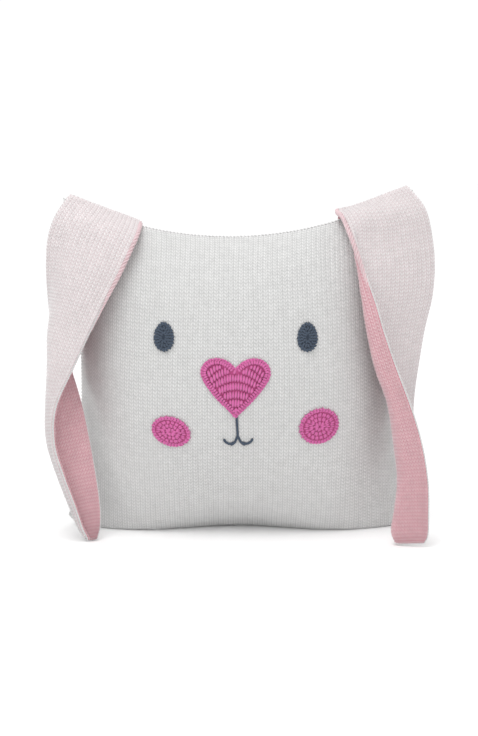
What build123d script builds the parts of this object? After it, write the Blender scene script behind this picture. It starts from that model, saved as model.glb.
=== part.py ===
from build123d import *
from functools import lru_cache
import math
import os

# Knitted bunny-face cushion with two long lop ears, in millimetres.
# +X is to the viewer's right, -Y is towards the viewer (the face side), +Z is up.
# The origin is the middle of the base, on the surface that the cushion stands on.
# "left" and "right" are the viewer's left and right.

# ---- the stuffed cushion: driving dimensions ----
HALF_WIDTH = 157.0          # half width at mid height
CORNER_FLARE = 16.0         # how much further out the corners stand
CORNER_X = 172.0            # where the corner rise below is measured
TOP_HEIGHT = 294.5          # top seam at the middle
TOP_CORNER_RISE = 41.0      # how far the top corners rise above the middle
TOP_LEAN = 4.0              # the right corner is this much higher, the left this much lower
BASE_PRESS = 0.5            # how far the middle of the bottom would reach below the floor
BASE_LOBES = 70.0           # strength of the two lobes that the cushion stands on
BASE_CORNER = 10.5          # rise of the bottom corners
CROWN_DEPTH = 62.0          # depth of the front and of the back crown
EDGE_ANGLE = math.radians(80.0)
GRID = 24                   # patches along each side of a crown surface

# ---- layers, from outside to inside ----
SEAM_HALF = 1.5             # half the thickness of the joining seam
KNIT = 2.6                  # knitted fabric
CASE = 0.8                  # woven case of the inner pad
GAP = 0.4                   # air between neighbouring layers
FACE_PLANE = SEAM_HALF + GAP    # where each crown meets the seam

# ---- face pieces ----
LAYER_GAP = 0.3             # air under every sewn-on piece
CROCHET = 2.4               # thickness of a crocheted piece
YARN = 1.8                  # thickness of an embroidered line
TACK = 0.9                  # height of a tacking stitch over the face
TACK_LENGTH = 2.4
TACK_RADIUS = 0.4
EYE_WIDTH = 19.0
EYE_HEIGHT = 27.5
EYES = {"left_eye": (-71.0, 201.8), "right_eye": (66.5, 201.8)}
CHEEKS = {
    "left_cheek": (-64.6, 109.9, 20.0, 14.3, -18.0),
    "right_cheek": (78.4, 114.7, 20.2, 17.6, 22.0),
}                           # centre x and z, long and short half axes, tilt in degrees
NOSE_X = -1.5
NOSE_TIP_Z = 125.5
NOSE_WIDTH = 67.0
NOSE_HEIGHT = 56.6
NOSE_NOTCH = 9.0
HEART_TACKS = ((0.12, 0.30), (0.27, 0.60), (0.42, 0.81), (0.57, 0.95))   # height, reach
HEART_TACK_ANGLE = 35       # slant of those stitches, in degrees
EYE_TACKS = 8               # stitches round each eye
CHEEK_TACKS = 12            # stitches round each cheek
MOUTH_TOP_Z = 124.6
MOUTH_FORK_Z = 104.0
MOUTH_DIP = 7.0
MOUTH_REACH = 13.0
MOUTH_WIDTH = 2.3

# ---- ears ----
PANEL = 3.0                 # thickness of the knitted panel and of its lining
EDGE_RADIUS = 1.2           # of the line of joining stitches round the edge
EDGE_GAP = 0.8              # air between that line and the panels
EDGE_STEP = 2               # grid rows that one stitch spans
EDGE_SHARE = 0.8            # share of that span that the stitch fills
TIP_STITCH = (2, 7, 12)     # grid columns that the stitch across the tip follows
ROOT_START = 0.5            # where the panel leaves the rolled root, as a share of its radius
ROOT_STITCHES = 8
ROOT_STITCH_ARC = (-50, -5, 40)  # degrees round the rolled root, from under it to over it
STITCH_RADIUS = 0.5
CURL_GAP = 0.3              # air in the groove where the lower half folds
CURL_MAX = math.radians(90.0)
ALONG = 6                   # grid rows between two neighbouring sections
ACROSS = 14                 # grid columns
FOLD_ROUND = 0.5            # roundness of the fold, as a share of the narrower side
LEAF_BEND = 0.35            # how soon each side of the section starts to bend

# Each section runs from the outer edge, through the fold, to the inner edge.
LEFT_SECTIONS = [
    ((-181, -14, 316), (-142, -23, 309), (-97, -25, 300)),
    ((-188, -15, 295), (-150, -33, 287), (-101, -38, 283)),
    ((-190, -14, 268), (-157, -38, 263), (-111, -43, 263)),
    ((-190, -13, 238), (-167, -42, 236), (-128, -51, 237)),
    ((-186, -12, 206), (-177, -43, 205), (-142, -58, 208)),
    ((-174, -16, 174), (-180, -45, 174), (-160, -64, 174)),
    ((-159, -30, 136), (-178, -50, 138), (-177, -70, 136)),
    ((-148, -42, 100), (-170, -54, 101), (-184, -70, 100)),
    ((-140, -50, 64), (-160, -58, 66), (-176, -69, 66)),
    ((-136, -53, 34), (-152, -60, 35), (-167, -66, 36)),
    ((-136, -55, 14), (-146, -60, 14), (-157, -64, 14)),
    ((-138, -57, 5), (-143, -59, 5), (-148, -61, 5)),
]
RIGHT_SECTIONS = [
    ((182, -14, 322), (140, -24, 317), (101, -26, 311)),
    ((189, -15, 295), (146, -35, 290), (108, -41, 288)),
    ((192, -15, 266), (150, -44, 263), (115, -50, 262)),
    ((190, -18, 236), (153, -48, 234), (124, -59, 235)),
    ((183, -22, 206), (153, -50, 205), (132, -65, 206)),
    ((177, -26, 172), (155, -51, 172), (144, -71, 172)),
    ((172, -32, 138), (157, -55, 139), (156, -76, 138)),
    ((166, -41, 100), (162, -61, 100), (169, -80, 101)),
    ((160, -53, 64), (165, -68, 64), (176, -81, 65)),
    ((157, -64, 34), (167, -73, 34), (178, -81, 34)),
    ((156, -69, 14), (166, -74, 14), (176, -79, 14)),
    ((161, -73, 5), (166, -75, 5), (171, -77, 5)),
]
EARS = {
    # inner and outer end of the seam it hangs from, height of the root line over the seam,
    # radius of the rolled root, and where the lower half folds
    "left_ear": {
        "root_x": (-95.0, -170.0), "lift": 6.4, "radius": 3.4,
        "sections": LEFT_SECTIONS, "curl_y": -45.0, "curl_z": 190.0,
    },
    "right_ear": {
        "root_x": (98.0, 171.0), "lift": 6.4, "radius": 4.4,
        "sections": RIGHT_SECTIONS, "curl_y": -50.0, "curl_z": 190.0,
    },
}
WORLD = 800.0               # larger than the object, for cutting blocks


# ---------------------------------------------------------------- cushion shape
def top_seam(x):
    """Height of the top seam at x."""
    across = x / CORNER_X
    return TOP_HEIGHT + TOP_CORNER_RISE * across ** 2 + TOP_LEAN * across


def bottom_seam(across):
    """Height of the bottom seam before the floor flattens it; across runs from -1 to 1."""
    square = across * across
    return -BASE_PRESS - BASE_LOBES * square * (1 - square) + BASE_CORNER * square ** 3


def swell(angle):
    """How full the crown is, from 1 in the middle to 0 at the seam."""
    edge = math.cos(EDGE_ANGLE)
    return (math.cos(angle) - edge) / (1 - edge)


def crown_point(u, v, inset, plane, side):
    """Point of a crown at u across and v up, both -1 to 1, moved in by inset."""
    theta = u * EDGE_ANGLE
    phi = v * EDGE_ANGLE
    across = math.sin(theta) / math.sin(EDGE_ANGLE)
    up = math.sin(phi) / math.sin(EDGE_ANGLE)
    x = (HALF_WIDTH + CORNER_FLARE * abs(up) ** 3 - inset) * across
    top = top_seam(x) - inset
    bottom = bottom_seam(across) + inset
    z = (top + bottom) / 2 + (top - bottom) / 2 * up
    depth = (CROWN_DEPTH - inset) * swell(theta) * swell(phi)
    return Vector(x, side * (plane + depth), z)


def crown_solid(inset, plane, side):
    """Closed solid between one crown surface and the plane at the seam."""
    steps = [-1 + 2 * i / GRID for i in range(GRID + 1)]
    points = [[crown_point(u, v, inset, plane, side) for v in steps] for u in steps]
    crown = Face.make_surface_from_array_of_points(points, tol=1e-3, min_deg=3, max_deg=5)
    back = Face(Wire(crown.edges()))
    return Solid(Shell([crown, back]))


def above(height):
    """A block that holds everything over a height."""
    block = Box(WORLD, WORLD, WORLD, align=(Align.CENTER, Align.CENTER, Align.MIN))
    return Pos(0, 0, height) * block


def crown_shell(side, outer_inset, thickness, plane):
    """One curved half of a layer, open at the seam and flat on the floor."""
    outer = crown_solid(outer_inset, plane, side) & above(outer_inset)
    inner = crown_solid(outer_inset + thickness, plane, side)
    inner = inner & above(outer_inset + thickness)
    return outer - inner


def outline_slab(inset, half_thickness):
    """The cushion's outline as a flat slab about the middle plane, standing on the floor."""
    steps = [-1 + 2 * i / GRID for i in range(GRID + 1)]
    sides = [
        [crown_point(u, 1, inset, 0, -1) for u in steps],
        [crown_point(1, -v, inset, 0, -1) for v in steps],
        [crown_point(-u, -1, inset, 0, -1) for u in steps],
        [crown_point(-1, v, inset, 0, -1) for v in steps],
    ]
    edges = [Edge.make_spline(points) for points in sides]
    face = Face(Wire(edges))
    slab = extrude(face, amount=half_thickness, dir=(0, 1, 0), both=True)
    return slab & above(inset)


def seam_ring(inset, width, half_thickness):
    """The flat ring where the front and the back are joined."""
    return outline_slab(inset, half_thickness) - outline_slab(inset + width, 2 * half_thickness)


def quarter(name):
    """Wedge prism that holds one side of the seam ring."""
    centre = Vector(0, 0, TOP_HEIGHT / 2)
    far = WORLD
    corners = {
        "top": [(-far, far), (far, far)],
        "bottom": [(far, -far), (-far, -far)],
        "left": [(-far, -far), (-far, far)],
        "right": [(far, far), (far, -far)],
    }[name]
    points = [centre] + [centre + Vector(x, 0, z) for x, z in corners]
    face = Face(Wire.make_polygon(points, close=True))
    return extrude(face, amount=WORLD / 4, dir=(0, 1, 0), both=True)


# ---------------------------------------------------------------- face
@lru_cache(maxsize=None)
def layer(lift, thickness):
    """The space from lift to lift + thickness in front of the knitted face."""
    outer = crown_solid(-lift - thickness, FACE_PLANE, -1)
    inner = crown_solid(-lift, FACE_PLANE, -1)
    return outer - inner


def on_face(sketch, lift, thickness):
    """A flat outline in the XZ plane laid on the face as a piece of even thickness."""
    plane = Plane(origin=(0, 0, 0), x_dir=(1, 0, 0), z_dir=(0, -1, 0))
    prism = extrude(plane * sketch, amount=WORLD / 4)
    return prism & layer(lift, thickness)


def egg(width, height):
    """Egg outline, narrower at the top, about its own middle."""
    half = height / 2
    points = [
        (0, half), (0.36 * width, 0.28 * height), (width / 2, -0.08 * height),
        (0.33 * width, -0.38 * height), (0, -half),
        (-0.33 * width, -0.38 * height), (-width / 2, -0.08 * height), (-0.36 * width, 0.28 * height),
    ]
    return make_face(Spline(points, periodic=True).edges())


def heart():
    """Heart outline, tip down, with its tip at the origin."""
    half = NOSE_WIDTH / 2
    right = Spline(
        (0, 0), (0.55 * half, 0.24 * NOSE_HEIGHT), (0.97 * half, 0.62 * NOSE_HEIGHT),
        (0.86 * half, 0.92 * NOSE_HEIGHT), (0.5 * half, NOSE_HEIGHT),
        (0.14 * half, 0.94 * NOSE_HEIGHT), (0, NOSE_HEIGHT - NOSE_NOTCH),
    )
    left = mirror(right, Plane.YZ)
    return make_face([right.edge(), left.edge()])


def face_point(x, z, lift):
    """Point of the knitted face, moved out by lift, that is seen at x and z."""
    u = x / HALF_WIDTH
    v = 2 * z / TOP_HEIGHT - 1
    for _ in range(12):
        point = crown_point(u, v, -lift, FACE_PLANE, -1)
        u += (x - point.X) / HALF_WIDTH
        v += 2 * (z - point.Z) / TOP_HEIGHT
    return point


def capsule(x, z, length, width, angle):
    """A short round-ended stroke."""
    return Pos(x, z) * Rot(0, 0, angle) * SlotOverall(length, width)


def tacks(points):
    """Small straight stitches lying on the face, one at each (x, z, angle)."""
    rods = []
    for x, z, angle in points:
        half = TACK_LENGTH / 2
        dx = half * math.cos(math.radians(angle))
        dz = half * math.sin(math.radians(angle))
        start = face_point(x - dx, z - dz, TACK)
        end = face_point(x + dx, z + dz, TACK)
        along = end - start
        rods.append(Solid.make_cylinder(TACK_RADIUS, along.length, Plane(origin=start, z_dir=along)))
    return Compound(children=rods)


def round_tacks(x, z, across, up, tilt, count):
    """Stitches all round an oval, just outside it."""
    clear = TACK_LENGTH / 2 + LAYER_GAP
    turn = math.radians(tilt)
    places = []
    for i in range(count):
        angle = 2 * math.pi * (i + 0.5) / count
        px = (across + clear) * math.cos(angle)
        pz = (up + clear) * math.sin(angle)
        heading = math.degrees(math.atan2(pz * across / up, px * up / across)) + tilt
        places.append((
            x + px * math.cos(turn) - pz * math.sin(turn),
            z + px * math.sin(turn) + pz * math.cos(turn),
            heading,
        ))
    return tacks(places)


def heart_tacks():
    """Stitches along the two straight sides of the heart."""
    places = []
    for side in (-1, 1):
        for rise, share in HEART_TACKS:
            reach = share * NOSE_WIDTH / 2 + TACK_LENGTH
            heading = -side * HEART_TACK_ANGLE
            places.append((NOSE_X + side * reach, NOSE_TIP_Z + rise * NOSE_HEIGHT - 1, heading))
    return tacks(places)


def mouth_half(side):
    """One upturned arm of the mouth."""
    start = (side * (MOUTH_WIDTH / 2 + LAYER_GAP), MOUTH_FORK_Z)
    low = (side * 0.55 * MOUTH_REACH, MOUTH_FORK_Z - MOUTH_DIP)
    end = (side * MOUTH_REACH, MOUTH_FORK_Z + 1)
    line = ThreePointArc(start, low, end)
    return Pos(NOSE_X + 1, 0) * trace(line, MOUTH_WIDTH)


# ---------------------------------------------------------------- ears
def curve_between(values, t):
    """Smooth curve through a list of points, t from 0 to len - 1."""
    last = len(values) - 1
    i = min(int(t), last - 1)
    f = t - i
    b = values[i]
    c = values[i + 1]
    a = values[i - 1] if i > 0 else b * 2 - c
    d = values[i + 2] if i + 2 <= last else c * 2 - b
    return (b * 2 + (c - a) * f + (a * 2 - b * 5 + c * 4 - d) * f ** 2
            + (b * 3 - a - c * 3 + d) * f ** 3) * 0.5


def section_point(outer, fold, inner, t):
    """Point at t, 0 to 1, on a cross-section with one rounded fold."""
    first = fold - outer
    second = inner - fold
    reach = FOLD_ROUND * min(first.length, second.length)
    along = (first.normalized() + second.normalized()).normalized() * reach
    split = first.length / (first.length + second.length)
    if t <= split:
        f = t / split
        p = (outer, outer + first * LEAF_BEND, fold - along, fold)
    else:
        f = (t - split) / (1 - split)
        p = (fold, fold + along, inner - second * LEAF_BEND, inner)
    g = 1 - f
    return p[0] * g ** 3 + p[1] * 3 * g * g * f + p[2] * 3 * g * f * f + p[3] * f ** 3


def root_line(ear):
    """Inner and outer end of the line that the ear turns about."""
    return [Vector(x, 0, top_seam(x) + ear["lift"]) for x in ear["root_x"]]


def ear_grid(ear):
    """Rows of points over the middle surface of one ear, from the root to the tip."""
    root_in, root_out = root_line(ear)
    outer, fold, inner = [Vector(*point) for point in ear["sections"][0]]
    share = (fold - outer).length / (inner - outer).length
    front = Vector(0, -ROOT_START * ear["radius"], 0)
    rows = [(root_out + front, root_out + (root_in - root_out) * share + front, root_in + front)]
    rows += [tuple(Vector(*point) for point in section) for section in ear["sections"]]
    columns = [[row[k] for row in rows] for k in range(3)]
    grid = []
    for n in range((len(rows) - 1) * ALONG + 1):
        outer, fold, inner = [curve_between(column, n / ALONG) for column in columns]
        grid.append([section_point(outer, fold, inner, m / ACROSS) for m in range(ACROSS + 1)])
    return grid


def grid_normals(grid, facing):
    """Unit normals of a grid, pointing to the lining side when facing is 1."""
    rows = len(grid) - 1
    columns = len(grid[0]) - 1
    normals = []
    for i in range(rows + 1):
        line = []
        for j in range(columns + 1):
            down = grid[min(i + 1, rows)][j] - grid[max(i - 1, 0)][j]
            over = grid[i][min(j + 1, columns)] - grid[i][max(j - 1, 0)]
            line.append(down.cross(over).normalized() * facing)
        normals.append(line)
    return normals


def surface_through(points):
    """Smooth face through a grid of points."""
    return Face.make_surface_from_array_of_points(points, tol=1e-3, min_deg=3, max_deg=5)


def sheet_solid(grid, normals, low, high):
    """Closed solid between two offsets of a grid."""
    def shifted(amount):
        return [[p + n * amount for p, n in zip(*rows)] for rows in zip(grid, normals)]
    near = shifted(low)
    far = shifted(high)
    caps = [surface_through(near), surface_through(far)]

    def rim(points):
        return [
            points[0], points[-1],
            [row[0] for row in points], [row[-1] for row in points],
        ]
    walls = []
    for a, b in zip(rim(near), rim(far)):
        edge_a = nearest_edge(caps[0], a)
        edge_b = nearest_edge(caps[1], b)
        walls.append(Face.make_surface_from_curves(edge_a, edge_b))
    return Solid(Shell(caps + walls))


def nearest_edge(face, points):
    """The edge of a face that runs along a list of points."""
    middle = points[len(points) // 2]
    return min(face.edges(), key=lambda edge: edge.distance_to(middle))


def edge_line(grid, near, away):
    """Points along one long edge of an ear, just outside it."""
    reach = EDGE_GAP + EDGE_RADIUS
    return [row[near] + (row[near] - row[away]).normalized() * reach for row in grid]


def in_half(ear, point, part, margin):
    """Whether a point lies in the upper or the lower half, clear of the groove by margin."""
    sign = 1 if part == "upper" else -1
    in_front = max(0.0, ear["curl_y"] - point.Y)
    limit = CURL_GAP + in_front * math.tan(CURL_MAX / 2) + margin
    return sign * (point.Z - ear["curl_z"]) > limit


def joining_stitches(ear, grid, part):
    """The line of joining stitches round the edge of one half of an ear."""
    margin = 2 * EDGE_RADIUS
    root_in, root_out = root_line(ear)
    axis = (root_out - root_in).normalized()
    outer, inner = [
        [p for p in edge_line(grid, near, away)
         if in_half(ear, p, part, margin)
         and (p - root_in).cross(axis).length > ear["radius"] + margin]
        for near, away in ((0, 1), (-1, -2))
    ]
    paths = [outer, inner]
    if part == "lower":
        reach = EDGE_GAP + EDGE_RADIUS
        paths.append([grid[-1][k] + (grid[-1][k] - grid[-2][k]).normalized() * reach for k in TIP_STITCH])
    stitches = []
    for path in paths:
        for start, end in zip(path[:-1:EDGE_STEP], path[EDGE_STEP::EDGE_STEP]):
            along = (end - start) * EDGE_SHARE
            plane = Plane(origin=start, z_dir=along)
            stitches.append(Solid.make_cylinder(EDGE_RADIUS, along.length, plane))
    return Compound(children=stitches)


def fold_block(ear, part):
    """Block that holds the upper or the lower half, with a groove in front of the fold line."""
    y = ear["curl_y"]
    z = ear["curl_z"]
    sign = 1 if part == "upper" else -1
    edge = z + sign * CURL_GAP
    slope = math.tan(CURL_MAX / 2)
    reach = WORLD / 4
    points = [
        Vector(0, y + reach, edge), Vector(0, y, edge), Vector(0, y - reach, edge + sign * reach * slope),
        Vector(0, y - reach, z + sign * 2 * reach), Vector(0, y + reach, z + sign * 2 * reach),
    ]
    face = Face(Wire.make_polygon(points, close=True))
    return extrude(face, amount=WORLD / 2, dir=(1, 0, 0), both=True)


def root_roll(ear, radius):
    """Round roll about the root line."""
    root_in, root_out = root_line(ear)
    axis = root_out - root_in
    return Solid.make_cylinder(radius, axis.length, Plane(origin=root_in, z_dir=axis))


def root_stitches(ear):
    """Loops of thread behind and under the rolled root, standing on the top seam."""
    root_in, root_out = root_line(ear)
    axis = (root_out - root_in).normalized()
    reach = ear["radius"] + LAYER_GAP + STITCH_RADIUS
    back = Vector(0, 1, 0)
    up = back.cross(axis) if back.cross(axis).Z > 0 else axis.cross(back)
    stitches = []
    angles = [math.radians(a) for a in ROOT_STITCH_ARC]
    for i in range(ROOT_STITCHES):
        centre = root_in + (root_out - root_in) * ((i + 0.5) / ROOT_STITCHES)
        points = [centre + (back * math.cos(a) + up * math.sin(a)) * reach for a in angles]
        arc = Edge.make_three_point_arc(*points)
        profile = Wire(Edge.make_circle(STITCH_RADIUS, Plane(origin=arc @ 0, z_dir=arc % 0)))
        stitches.append(Solid.sweep(Face(profile), Wire([arc])))
    return Compound(children=stitches)


def ear_parts(name, ear):
    """All nodes of one ear."""
    grid = ear_grid(ear)
    facing = 1 if name == "left_ear" else -1
    normals = grid_normals(grid, facing)
    half_gap = LAYER_GAP / 2
    outer = sheet_solid(grid, normals, -PANEL, -half_gap) + root_roll(ear, ear["radius"])
    clearance = root_roll(ear, ear["radius"] + LAYER_GAP)
    lining = sheet_solid(grid, normals, half_gap, PANEL) - clearance
    nodes = {name + "_root_stitches": root_stitches(ear)}
    for part in ("upper", "lower"):
        block = fold_block(ear, part)
        nodes[f"{name}_outer_{part}"] = outer & block
        nodes[f"{name}_lining_{part}"] = lining & block
        nodes[f"{name}_edge_seam_{part}"] = joining_stitches(ear, grid, part)
    return nodes


# ---------------------------------------------------------------- the whole object
def cushion_nodes():
    """Knitted cover, its seams, the inner pad's case and the filling."""
    case_inset = KNIT + GAP
    fill_inset = case_inset + CASE + GAP
    nodes = {
        "cover_front": crown_shell(-1, 0, KNIT, FACE_PLANE),
        "cover_back": crown_shell(1, 0, KNIT, FACE_PLANE),
        "insert_front": crown_shell(-1, case_inset, CASE, FACE_PLANE),
        "insert_back": crown_shell(1, case_inset, CASE, FACE_PLANE),
        "insert_seam": seam_ring(case_inset, KNIT, SEAM_HALF),
    }
    ring = seam_ring(0, KNIT, SEAM_HALF)
    for side in ("top", "bottom", "left", "right"):
        nodes["seam_" + side] = ring & quarter(side)
    front = crown_solid(fill_inset, FACE_PLANE, -1)
    back = crown_solid(fill_inset, FACE_PLANE, 1)
    middle = outline_slab(fill_inset + KNIT, FACE_PLANE)
    nodes["fibre_fill"] = (front + middle + back) & above(fill_inset)
    return nodes


def face_nodes():
    """Crocheted eyes, heart nose and cheeks, the embroidered mouth, and the tacking stitches."""
    nodes = {}
    for name, (x, z) in EYES.items():
        nodes[name] = on_face(Pos(x, z) * egg(EYE_WIDTH, EYE_HEIGHT), LAYER_GAP, CROCHET)
        nodes[name + "_stitches"] = round_tacks(x, z, EYE_WIDTH / 2, EYE_HEIGHT / 2, 0, EYE_TACKS)
    for name, (x, z, across, up, tilt) in CHEEKS.items():
        oval = Pos(x, z) * Rot(0, 0, tilt) * Ellipse(across, up)
        nodes[name] = on_face(oval, LAYER_GAP, CROCHET)
        nodes[name + "_stitches"] = round_tacks(x, z, across, up, tilt, CHEEK_TACKS)
    nodes["nose_heart"] = on_face(Pos(NOSE_X, NOSE_TIP_Z) * heart(), LAYER_GAP, CROCHET)
    nodes["nose_heart_stitches"] = heart_tacks()
    length = MOUTH_TOP_Z - MOUTH_FORK_Z - 1
    middle = (MOUTH_TOP_Z + MOUTH_FORK_Z) / 2
    line = capsule(NOSE_X + 1, middle, length, MOUTH_WIDTH, 90)
    nodes["philtrum_stitch"] = on_face(line, LAYER_GAP, YARN)
    nodes["mouth_left_stitch"] = on_face(mouth_half(-1), LAYER_GAP, YARN)
    nodes["mouth_right_stitch"] = on_face(mouth_half(1), LAYER_GAP, YARN)
    return nodes


def main():
    os.makedirs("parts", exist_ok=True)
    nodes = cushion_nodes()
    nodes.update(face_nodes())
    for name, ear in EARS.items():
        nodes.update(ear_parts(name, ear))
    for name, shape in nodes.items():
        export_step(shape, f"parts/{name}.step")
        print(name, len(shape.solids()), round(shape.volume))


main()
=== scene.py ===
import math

import bmesh
import bpy
import numpy as np
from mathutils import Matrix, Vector


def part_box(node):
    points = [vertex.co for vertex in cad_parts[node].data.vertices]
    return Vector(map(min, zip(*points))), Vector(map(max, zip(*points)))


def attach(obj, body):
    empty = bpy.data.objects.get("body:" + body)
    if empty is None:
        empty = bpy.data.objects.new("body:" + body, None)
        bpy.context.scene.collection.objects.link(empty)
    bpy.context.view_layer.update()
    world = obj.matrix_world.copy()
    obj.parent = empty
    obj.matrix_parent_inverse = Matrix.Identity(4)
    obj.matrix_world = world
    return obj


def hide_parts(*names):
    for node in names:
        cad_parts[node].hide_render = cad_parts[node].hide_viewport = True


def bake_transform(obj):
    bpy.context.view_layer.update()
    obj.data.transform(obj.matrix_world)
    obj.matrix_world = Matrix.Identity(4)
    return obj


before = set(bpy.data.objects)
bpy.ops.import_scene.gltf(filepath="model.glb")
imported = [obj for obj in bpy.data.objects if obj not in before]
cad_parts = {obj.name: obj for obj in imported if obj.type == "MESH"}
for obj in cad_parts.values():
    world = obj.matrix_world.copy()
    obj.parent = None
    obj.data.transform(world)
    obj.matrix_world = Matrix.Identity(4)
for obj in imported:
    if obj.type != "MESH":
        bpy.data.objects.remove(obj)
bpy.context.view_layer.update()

MM = 0.001
WALE = 4.9 * MM             # width of one knitted stitch
COURSE = 3.45 * MM          # height of one knitted stitch
RELIEF = 1.15 * MM          # how far the yarn stands out of the knitted sheet
SHEET = 2.2 * MM            # thickness of the knitted sheet under that relief
GRID = 72                   # cells each way of a coarse surface
rng = np.random.default_rng(7)

# ---------------------------------------------------------------- the stage
CAMERA_DISTANCE = 1.6
CAMERA_ELEVATION = math.radians(10.0)
AIM = Vector((0.001, 0.0, 0.162))
FIELD = 0.736               # metres across the picture's long side at the aim
SENSOR = 36.0               # width of the camera's sensor, in its own millimetres
FLOOR_REACH = 6.0


def make_camera():
    """A camera in front of the face, a little above it."""
    data = bpy.data.cameras.new("camera")
    data.sensor_width = SENSOR
    data.lens = SENSOR * CAMERA_DISTANCE / FIELD
    camera = bpy.data.objects.new("camera", data)
    away = Vector((0, -math.cos(CAMERA_ELEVATION), math.sin(CAMERA_ELEVATION)))
    camera.location = AIM + away * CAMERA_DISTANCE
    camera.rotation_euler = away.to_track_quat("Z", "Y").to_euler()
    bpy.context.collection.objects.link(camera)
    bpy.context.scene.camera = camera


def area_light(name, place, size, power, target):
    """A square light of a given size at a place, turned towards the target."""
    data = bpy.data.lights.new(name, "AREA")
    data.energy = power
    data.size = size
    light = bpy.data.objects.new(name, data)
    light.location = place
    light.rotation_euler = (Vector(place) - Vector(target)).to_track_quat("Z", "Y").to_euler()
    bpy.context.collection.objects.link(light)


def make_lights():
    """An even white surround and one soft light above and in front."""
    world = bpy.data.worlds.new("studio")
    world.use_nodes = True
    background = world.node_tree.nodes["Background"]
    background.inputs["Color"].default_value = (1.0, 1.0, 1.0, 1.0)
    background.inputs["Strength"].default_value = 1.06
    bpy.context.scene.world = world
    area_light("key", (-0.3, -0.6, 2.0), 1.0, 14.0, (0, 0, 0.2))
    bpy.context.scene.view_settings.view_transform = "Standard"


def make_floor():
    """A plain pale floor, part of the stage and not of the object."""
    mesh = bpy.data.meshes.new("floor")
    corners = [(x * FLOOR_REACH, y * FLOOR_REACH, 0) for x, y in ((-1, -1), (1, -1), (1, 1), (-1, 1))]
    mesh.from_pydata(corners, [], [(0, 1, 2, 3)])
    floor = bpy.data.objects.new("floor", mesh)
    bpy.context.collection.objects.link(floor)
    material = bpy.data.materials.new("pale_floor")
    material.use_nodes = True
    shader = material.node_tree.nodes["Principled BSDF"]
    shader.inputs["Base Color"].default_value = (0.97, 0.97, 0.97, 1)
    shader.inputs["Roughness"].default_value = 0.9
    mesh.materials.append(material)


# ---------------------------------------------------------------- materials
def yarn_material(name, colour, hollow_shade, fibre_scale=2600.0, sheen=0.25, bump=0.35, tint=0.06):
    """Matte yarn: painted shade where the mesh marks hollows, uneven dye, fine fibres and a soft halo."""
    material = bpy.data.materials.new(name)
    material.use_nodes = True
    nodes = material.node_tree.nodes
    link = material.node_tree.links.new
    shader = nodes["Principled BSDF"]
    shader.inputs["Roughness"].default_value = 0.88
    shader.inputs["Specular IOR Level"].default_value = 0.25
    shader.inputs["Sheen Weight"].default_value = sheen
    shader.inputs["Sheen Roughness"].default_value = 0.5
    place = nodes.new("ShaderNodeTexCoord")
    shade_mark = nodes.new("ShaderNodeAttribute")
    shade_mark.attribute_name = "shade_mark"
    # painted shade: the hollow colour where the mark is low, the yarn's own colour where it is high
    mix = nodes.new("ShaderNodeMix")
    mix.data_type = "RGBA"
    mix.inputs["A"].default_value = (*hollow_shade, 1)
    mix.inputs["B"].default_value = (*colour, 1)
    link(shade_mark.outputs["Fac"], mix.inputs["Factor"])
    dye = nodes.new("ShaderNodeTexNoise")
    dye.inputs["Scale"].default_value = 160.0
    dye.inputs["Detail"].default_value = 3.0
    link(place.outputs["Object"], dye.inputs["Vector"])
    shade = nodes.new("ShaderNodeMapRange")
    shade.inputs["From Min"].default_value = 0.3
    shade.inputs["From Max"].default_value = 0.7
    shade.inputs["To Min"].default_value = 1.0 - tint
    shade.inputs["To Max"].default_value = 1.0 + tint * 0.4
    link(dye.outputs["Fac"], shade.inputs["Value"])
    scale = nodes.new("ShaderNodeVectorMath")
    scale.operation = "SCALE"
    link(mix.outputs["Result"], scale.inputs[0])
    link(shade.outputs["Result"], scale.inputs["Scale"])
    link(scale.outputs["Vector"], shader.inputs["Base Color"])
    fibre = nodes.new("ShaderNodeTexNoise")
    fibre.inputs["Scale"].default_value = fibre_scale
    fibre.inputs["Detail"].default_value = 4.0
    fibre.inputs["Distortion"].default_value = 1.2
    link(place.outputs["Object"], fibre.inputs["Vector"])
    lift = nodes.new("ShaderNodeBump")
    lift.inputs["Strength"].default_value = bump
    lift.inputs["Distance"].default_value = 0.0006
    link(fibre.outputs["Fac"], lift.inputs["Height"])
    link(lift.outputs["Normal"], shader.inputs["Normal"])
    return material


def woven_material(name, colour):
    """Plain woven cloth: two crossed sets of threads."""
    material = yarn_material(name, colour, colour, bump=0.2)
    nodes = material.node_tree.nodes
    link = material.node_tree.links.new
    place = [n for n in nodes if n.type == "TEX_COORD"][0]
    waves = []
    for direction in ("X", "Z"):
        wave = nodes.new("ShaderNodeTexWave")
        wave.bands_direction = direction
        wave.inputs["Scale"].default_value = 420.0
        link(place.outputs["Object"], wave.inputs["Vector"])
        waves.append(wave)
    weave = nodes.new("ShaderNodeMath")
    weave.operation = "MULTIPLY"
    link(waves[0].outputs["Fac"], weave.inputs[0])
    link(waves[1].outputs["Fac"], weave.inputs[1])
    lift = [n for n in nodes if n.type == "BUMP"][0]
    link(weave.outputs["Value"], lift.inputs["Height"])
    return material


# The hollow colours below are painted shade, mixed in where the mesh marks hollows and shaded sides.
WHITE = (0.80, 0.797, 0.793)
WHITE_HOLLOW_SHADE = (0.54, 0.54, 0.535)
PINK = (0.76, 0.60, 0.62)
PINK_HOLLOW_SHADE = (0.60, 0.29, 0.33)
WHITE_OVER_PINK_SHADE = (0.62, 0.53, 0.54)       # painted shade in the hollows of the ear's white side, tinted by the pink lining that shows through
MAGENTA = (0.64, 0.145, 0.385)
MAGENTA_HOLLOW_SHADE = (0.36, 0.035, 0.14)
SLATE = (0.070, 0.095, 0.135)
SLATE_HOLLOW_SHADE = (0.012, 0.018, 0.03)
FIBRE = (0.85, 0.85, 0.84)
CASE_CLOTH = (0.80, 0.79, 0.76)


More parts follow.
